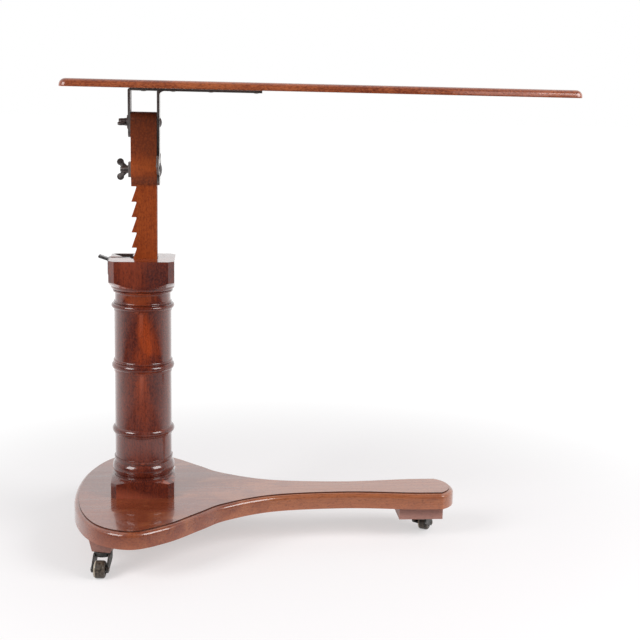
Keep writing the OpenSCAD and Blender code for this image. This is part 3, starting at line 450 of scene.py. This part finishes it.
# Turned column.
# A hollow mahogany turning with ringed shaft, a square collar and a square plinth, both with
# clipped corners. It is dark, with an orange flame figure, and glued and screwed to the board.
column_wood = mahogany(
    "column_mahogany", "Z", (0.068, 0.011, 0.008), (0.115, 0.02, 0.013), (0.28, 0.048, 0.013),
    streak=0.7, figure=0.3, gloss=0.3, rough=0.24,
    patches=[
        (column_x + 0.008, 0.348, 0.021, 0.038, (0.4, 0.055, 0.008), 0.95),
        (column_x + 0.001, 0.262, 0.012, 0.045, (0.34, 0.05, 0.01), 0.8),
        (column_x - 0.004, 0.427, 0.028, 0.011, (0.3, 0.055, 0.013), 0.75),
        (column_x - 0.022, 0.47, 0.034, 0.034, (0.26, 0.045, 0.017), 0.85),
        (column_x + 0.028, 0.466, 0.027, 0.03, (0.07, 0.02, 0.019), 0.9),
        # The two pinkish patches low on the shaft are a painted reflection of the pale board and
        # floor
        (column_x, 0.172, 0.06, 0.026, (0.21, 0.075, 0.062), 0.65),
        (column_x, 0.232, 0.06, 0.034, (0.17, 0.05, 0.04), 0.45),
    ],
)
# Painted shade: a near-black, dull mahogany for the walls of the collar's recess, where shade
# falls
painted_recess_shade = mahogany(
    "recess_painted_shade", "X", (0.012, 0.005, 0.004), (0.02, 0.008, 0.006), (0.035, 0.014, 0.01),
    polish=0.0, gloss=0.2, rough=0.7,
)
recess_half_x, recess_half_y, recess_depth, rim_h = 0.0505, 0.045, 0.03, 0.0012
turned = eased_copy("column", "turned_column", "base", column_wood, 0.0009, 3, 40)
turned.data.materials.append(painted_recess_shade)
column_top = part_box("column")[1].z
# The recess walls below the rim take the painted shade
for face in turned.data.polygons:
    beside = abs(face.center.x - column_x) < recess_half_x and abs(face.center.y) < recess_half_y
    if beside and rim_h < column_top - face.center.z < recess_depth:
        face.material_index = 1


# Release lever.
# A forged lever in the collar's left side. Its nose holds a tooth of the post, its ribbed tab
# is pressed down to free it, and a coil spring in the pocket brings it back.
lever_iron = worn_iron(
    "lever_iron", (0.13, 0.125, 0.125), (0.5, 0.48, 0.48), (0.14, 0.09, 0.06), 0.34, 0.4,
)
eased_copy("latch_lever", "release_lever", "latch", lever_iron, 0.0004)
eased_copy("lever_keeper", "lever_keeper_plate", "base", lever_iron, 0.0004)
dress(screw_iron, "latch_pin", "keeper_screws")

low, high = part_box("latch_spring")
wire_r, turns, turn_steps = 0.0005, 7, 24
steps = turns * turn_steps
coil_r = (high.x - low.x) / 2 - wire_r
coil_at = Vector(((low.x + high.x) / 2, (low.y + high.y) / 2, low.z + wire_r))
rise = high.z - low.z - 2 * wire_r
coil = bmesh.new()
upright = Matrix.Rotation(math.pi / 2, 4, "X")
section = bmesh.ops.create_circle(
    coil, cap_ends=False, segments=10, radius=wire_r,
    matrix=Matrix.Translation(coil_at + Vector((coil_r, 0, 0))) @ upright,
)["verts"]
ring = list({edge for vert in section for edge in vert.link_edges})
bmesh.ops.spin(
    coil, geom=section + ring, cent=coil_at, axis=(0, 0, 1), dvec=(0, 0, rise / steps),
    angle=math.tau * turns, steps=steps,
)
ends = [edge for edge in coil.edges if edge.is_boundary]
bmesh.ops.holes_fill(coil, edges=ends, sides=12)
bmesh.ops.recalc_face_normals(coil, faces=coil.faces)
spring = finish_piece(
    coil, "lever_coil_spring", "base", screw_iron, ["latch_spring"], 60,
)
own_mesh(spring)


# Toothed post.
# Straight-grained mahogany, oiled and worn, with ratchet teeth down its left side and a thicker
# head. A round guide, screwed under it, runs in the column's bore.
post_wood = mahogany(
    "post_mahogany", "Z", (0.2, 0.03, 0.005), (0.33, 0.058, 0.008), (0.42, 0.085, 0.014),
    polish=0.2, gloss=0.25, rough=0.38,
    patches=[
        # Painted light and shade on the head: a near-black band at its top and a dark band below
        # it are shade under the table top, a dark band on its downward curve to the post is
        # painted shade, and a lighter band above that is painted light
        (column_x, 0.688, 0.5, 0.04, (0.085, 0.018, 0.008), 0.9),
        (column_x, 0.726, 0.5, 0.017, (0.016, 0.01, 0.01), 1.0),
        (column_x, 0.614, 0.5, 0.009, (0.07, 0.016, 0.007), 0.8),
        (column_x, 0.638, 0.5, 0.012, (0.42, 0.09, 0.014), 0.5),
    ],
)
eased_copy("ratchet_post", "toothed_post", "post", post_wood, 0.0006)
plain_wood = mahogany(
    "plain_hardwood", "Z", (0.12, 0.06, 0.03), (0.2, 0.11, 0.06), (0.26, 0.15, 0.08),
    polish=0.0, rough=0.6,
)
eased_copy("post_guide", "post_guide_block", "post", plain_wood, 0.0008)
dress(screw_iron, "guide_screws")


# Iron clevis.
# One forging: two ears that clip the post's head and a long strap screwed under the top. The
# right ear ends in a curved slot for the clamp bolt. It is dark and rubbed pale on its edges.
clevis_iron = worn_iron(
    "clevis_iron", (0.1, 0.09, 0.09), (0.5, 0.47, 0.45), (0.16, 0.1, 0.075), 0.42, 0.5,
)
# Painted light: a paler iron for the faces that turn to the right, right of the column, which
# catch more light
painted_light_iron = worn_iron(
    "painted_light_iron", (0.4, 0.38, 0.36), (0.7, 0.67, 0.64), (0.25, 0.2, 0.17), 0.3, 0.3,
)
clevis = eased_copy("clevis_bracket", "iron_clevis", "top", clevis_iron, 0.0005)
clevis.data.materials.append(painted_light_iron)
# Faces turned to the right take the painted light
for face in clevis.data.polygons:
    if face.normal.x > 0.6 and face.center.x > column_x:
        face.material_index = 1
eased_copy("bracket_screws", "clevis_screws", "top", screw_iron, 0.0003)


# Bolts, washers and wing nuts.
# Iron, with domed heads at the right and cast wing nuts at the left. The tilt bolt carries a
# round washer and the clamp bolt a square plate.
nut_iron = worn_iron(
    "nut_iron", (0.09, 0.078, 0.076), (0.45, 0.41, 0.4), (0.13, 0.08, 0.06), 0.42, 0.5,
)
for node in ("tilt_bolt", "tilt_washer", "clamp_bolt", "clamp_washer_plate"):
    eased_copy(node, f"{node}_iron", "post", clevis_iron, 0.0003)
for nut in ("tilt", "clamp"):
    eased_copy(
        f"{nut}_wing_nut", f"{nut}_wing_nut_cast", f"{nut}_nut", nut_iron, 0.0008, 3,
    )


# Table top.
# A thin mahogany board with a quarter-round upper edge. Its upper face is French-polished and
# its underside is plain.
top_wood = mahogany(
    "top_mahogany", "X", (0.13, 0.02, 0.006), (0.3, 0.068, 0.022), (0.51, 0.145, 0.048),
    streak=0.8, figure=0.5, polish=0.8, gloss=0.4,
    patches=[
        # A pale pink streak low on the edge near the right end is a painted highlight, and a dark
        # line along the lower edge is painted shade
        (column_x + 0.56, 0.7655, 0.13, 0.0035, (0.66, 0.33, 0.27), 0.5),
        (column_x + 0.25, 0.7613, 0.9, 0.0012, (0.1, 0.025, 0.012), 0.6),
    ],
)
eased_copy("table_top", "table_top_board", "top", top_wood, 0.0006)


# Studio.
# A white floor that keeps the table's shadow, two soft lamps beside the camera and a white
# surround behind the table. The camera stands where the photograph was taken.
floor_half = 30
floor_form = bmesh.new()
bmesh.ops.create_grid(floor_form, x_segments=1, y_segments=1, size=floor_half)
floor_mesh = bpy.data.meshes.new("floor")
floor_form.to_mesh(floor_mesh)
floor_form.free()
floor = bpy.data.objects.new("floor", floor_mesh)
bpy.context.scene.collection.objects.link(floor)
floor_look = bpy.data.materials.new("white_paper")
floor_look.use_nodes = True
floor.data.materials.append(floor_look)


def mix(tree, factor, first, second):
    """The second shader in place of the first by that factor."""
    node = tree.nodes.new("ShaderNodeMixShader")
    for socket, source in zip(node.inputs, (factor, first, second)):
        tree.links.new(source, socket)
    return node.outputs["Shader"]


def light_source(tree, kind, strength):
    """A white emission or background of that strength, a number or a socket."""
    node = tree.nodes.new(kind)
    feed(tree, node.inputs["Color"], (1, 1, 1))
    feed(tree, node.inputs["Strength"], strength)
    return node.outputs[0]


# The floor: paper that fades to even white further out, darker in front of the table where
# polished faces mirror it, and grey in the light that it throws back
tree = floor_look.node_tree
paper = tree.nodes["Principled BSDF"]
paper.inputs["Base Color"].default_value = (0.95, 0.92, 0.935, 1)
paper.inputs["Roughness"].default_value = 0.9
paper.inputs["Specular IOR Level"].default_value = 0
place = tree.nodes.new("ShaderNodeTexCoord").outputs["Object"]
reach = tree.nodes.new("ShaderNodeVectorMath")
reach.operation = "LENGTH"
tree.links.new(place, reach.inputs[0])
fade = ramp(tree, reach.outputs["Value"], 0.4, 1.2, 0.44, 1)
fade.node.interpolation_type = "SMOOTHSTEP"
glow = light_source(tree, "ShaderNodeEmission", 1.08)
seen_floor = mix(tree, fade, paper.outputs["BSDF"], glow)
spot = tree.nodes.new("ShaderNodeSeparateXYZ")
tree.links.new(place, spot.inputs[0])
behind = ramp(tree, spot.outputs["Y"], -0.9, 0.2)
dim = light_source(tree, "ShaderNodeEmission", 0.05)
mirrored_floor = mix(tree, behind, dim, seen_floor)
ray = tree.nodes.new("ShaderNodeLightPath")
either = mix(tree, ray.outputs["Is Glossy Ray"], seen_floor, mirrored_floor)
bounced = tree.nodes.new("ShaderNodeBsdfDiffuse")
bounced.inputs["Color"].default_value = (0.62, 0.6, 0.6, 1)
all_rays = mix(tree, ray.outputs["Is Diffuse Ray"], either, bounced.outputs["BSDF"])
tree.links.new(all_rays, tree.nodes["Material Output"].inputs["Surface"])

# The surround: an even soft light for matt surfaces, white in the camera and in glass, and for
# polished surfaces white behind the table and dark in front of it
world = bpy.data.worlds.new("studio")
world.use_nodes = True
bpy.context.scene.world = world
tree = world.node_tree
soft = tree.nodes["Background"]
soft.inputs["Color"].default_value = (1, 1, 1, 1)
soft.inputs["Strength"].default_value = 0.36
side = tree.nodes.new("ShaderNodeSeparateXYZ")
tree.links.new(tree.nodes.new("ShaderNodeTexCoord").outputs["Generated"], side.inputs[0])
behind = ramp(tree, side.outputs["Y"], -0.45, 0.35, 0.04, 1)
mirrored = light_source(tree, "ShaderNodeBackground", behind)
ray = tree.nodes.new("ShaderNodeLightPath")
polish = mix(tree, ray.outputs["Is Glossy Ray"], soft.outputs["Background"], mirrored)
clear = tree.nodes.new("ShaderNodeMath")
clear.operation = "MAXIMUM"
tree.links.new(ray.outputs["Is Camera Ray"], clear.inputs[0])
tree.links.new(ray.outputs["Is Transmission Ray"], clear.inputs[1])
white = light_source(tree, "ShaderNodeBackground", 1)
all_rays = mix(tree, clear.outputs["Value"], polish, white)
tree.links.new(all_rays, tree.nodes["World Output"].inputs["Surface"])

# Lamps: bearing from the column, seen from above, with 0 along +X
lamp_far, lamp_z, lamp_size, lamp_watts = 2.2, 1.6, 1.25, 36
lamp_aim = Vector((column_x, 0, 0.4))
for name, bearing in (("left", -143), ("right", -31)):
    lamp = bpy.data.lights.new(f"soft_lamp_{name}", "AREA")
    lamp.shape = "RECTANGLE"
    lamp.size, lamp.size_y = lamp_size, lamp_size
    lamp.energy = lamp_watts
    stand = bpy.data.objects.new(f"soft_lamp_{name}", lamp)
    bpy.context.scene.collection.objects.link(stand)
    spot = Vector((
        column_x + lamp_far * math.cos(math.radians(bearing)),
        lamp_far * math.sin(math.radians(bearing)), lamp_z,
    ))
    facing = (lamp_aim - spot).to_track_quat("-Z", "Y").to_matrix().to_4x4()
    stand.matrix_world = Matrix.Translation(spot) @ facing
    stand.visible_camera = False

# Camera: its place, and how far it looks to the right, down and aslant
camera_at = Vector((column_x + 0.1041, -1.9386, 0.7603))
yaw, pitch, roll = (math.radians(turn) for turn in (5.669, 10.955, 1.335))
camera_data = bpy.data.cameras.new("camera")
camera_data.lens = 65.96
camera_data.sensor_width = 36
camera = bpy.data.objects.new("camera", camera_data)
bpy.context.scene.collection.objects.link(camera)
camera.matrix_world = (
    Matrix.Translation(camera_at)
    @ Matrix.Rotation(-yaw, 4, "Z")
    @ Matrix.Rotation(math.pi / 2 - pitch, 4, "X")
    @ Matrix.Rotation(roll, 4, "Z")
)
bpy.context.scene.camera = camera
bpy.context.scene.view_settings.view_transform = "Standard"
